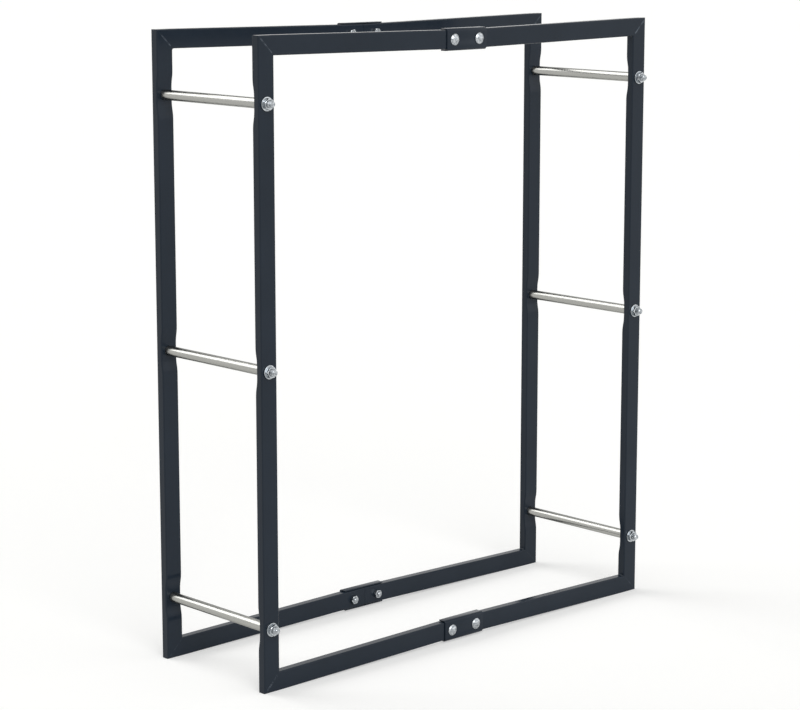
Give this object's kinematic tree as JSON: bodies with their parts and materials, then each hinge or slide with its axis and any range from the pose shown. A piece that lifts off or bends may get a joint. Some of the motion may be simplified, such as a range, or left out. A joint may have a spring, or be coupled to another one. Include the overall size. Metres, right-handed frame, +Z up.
{
  "type": "firewood rack",
  "caption": "Upright free-standing firewood rack: front and back frames of flat powder-coated steel tube, held apart at both sides by zinc-plated cross rods, for stacking logs.",
  "frame": {"origin": "on the floor, midway between the sides and between the outer faces of the two frames", "axes": "+Z up; +X along the width, to the right seen from the front; +Y from the front frame to the back"},
  "size_m": [0.85, 0.2776, 1],
  "materials": {
    "powder_coated_steel": "satin anthracite powder coat",
    "zinc_plated_tube": "drawn tube, bright zinc plating",
    "zinc_plated_fastener": "bright blue-white zinc plating"
  },
  "bodies": {
    "root": {"back_bottom_connector": "powder_coated_steel", "back_left_bottom_bolt": "zinc_plated_fastener", "back_left_bottom_nut": "zinc_plated_fastener", "back_left_bottom_rail": "powder_coated_steel", "back_left_top_bolt": "zinc_plated_fastener", "back_left_top_nut": "zinc_plated_fastener", "back_left_top_rail": "powder_coated_steel", "back_left_upright": "powder_coated_steel", "back_right_bottom_bolt": "zinc_plated_fastener", "back_right_bottom_nut": "zinc_plated_fastener", "back_right_bottom_rail": "powder_coated_steel", "back_right_top_bolt": "zinc_plated_fastener", "back_right_top_nut": "zinc_plated_fastener", "back_right_top_rail": "powder_coated_steel", "back_right_upright": "powder_coated_steel", "back_top_connector": "powder_coated_steel", "front_bottom_connector": "powder_coated_steel", "front_left_bottom_bolt": "zinc_plated_fastener", "front_left_bottom_nut": "zinc_plated_fastener", "front_left_bottom_rail": "powder_coated_steel", "front_left_bottom_rod_nut": "zinc_plated_fastener", "front_left_bottom_rod_washer": "zinc_plated_fastener", "front_left_middle_rod_nut": "zinc_plated_fastener", "front_left_middle_rod_washer": "zinc_plated_fastener", "front_left_top_bolt": "zinc_plated_fastener", "front_left_top_nut": "zinc_plated_fastener", "front_left_top_rail": "powder_coated_steel", "front_left_top_rod_nut": "zinc_plated_fastener", "front_left_top_rod_washer": "zinc_plated_fastener", "front_left_upright": "powder_coated_steel", "front_right_bottom_bolt": "zinc_plated_fastener", "front_right_bottom_nut": "zinc_plated_fastener", "front_right_bottom_rail": "powder_coated_steel", "front_right_bottom_rod_nut": "zinc_plated_fastener", "front_right_bottom_rod_washer": "zinc_plated_fastener", "front_right_middle_rod_nut": "zinc_plated_fastener", "front_right_middle_rod_washer": "zinc_plated_fastener", "front_right_top_bolt": "zinc_plated_fastener", "front_right_top_nut": "zinc_plated_fastener", "front_right_top_rail": "powder_coated_steel", "front_right_top_rod_nut": "zinc_plated_fastener", "front_right_top_rod_washer": "zinc_plated_fastener", "front_right_upright": "powder_coated_steel", "front_top_connector": "powder_coated_steel", "left_bottom_rod": "zinc_plated_tube", "left_bottom_rod_bolt": "zinc_plated_fastener", "left_middle_rod": "zinc_plated_tube", "left_middle_rod_bolt": "zinc_plated_fastener", "left_top_rod": "zinc_plated_tube", "left_top_rod_bolt": "zinc_plated_fastener", "right_bottom_rod": "zinc_plated_tube", "right_bottom_rod_bolt": "zinc_plated_fastener", "right_middle_rod": "zinc_plated_tube", "right_middle_rod_bolt": "zinc_plated_fastener", "right_top_rod": "zinc_plated_tube", "right_top_rod_bolt": "zinc_plated_fastener"}
  },
  "joints": []
}
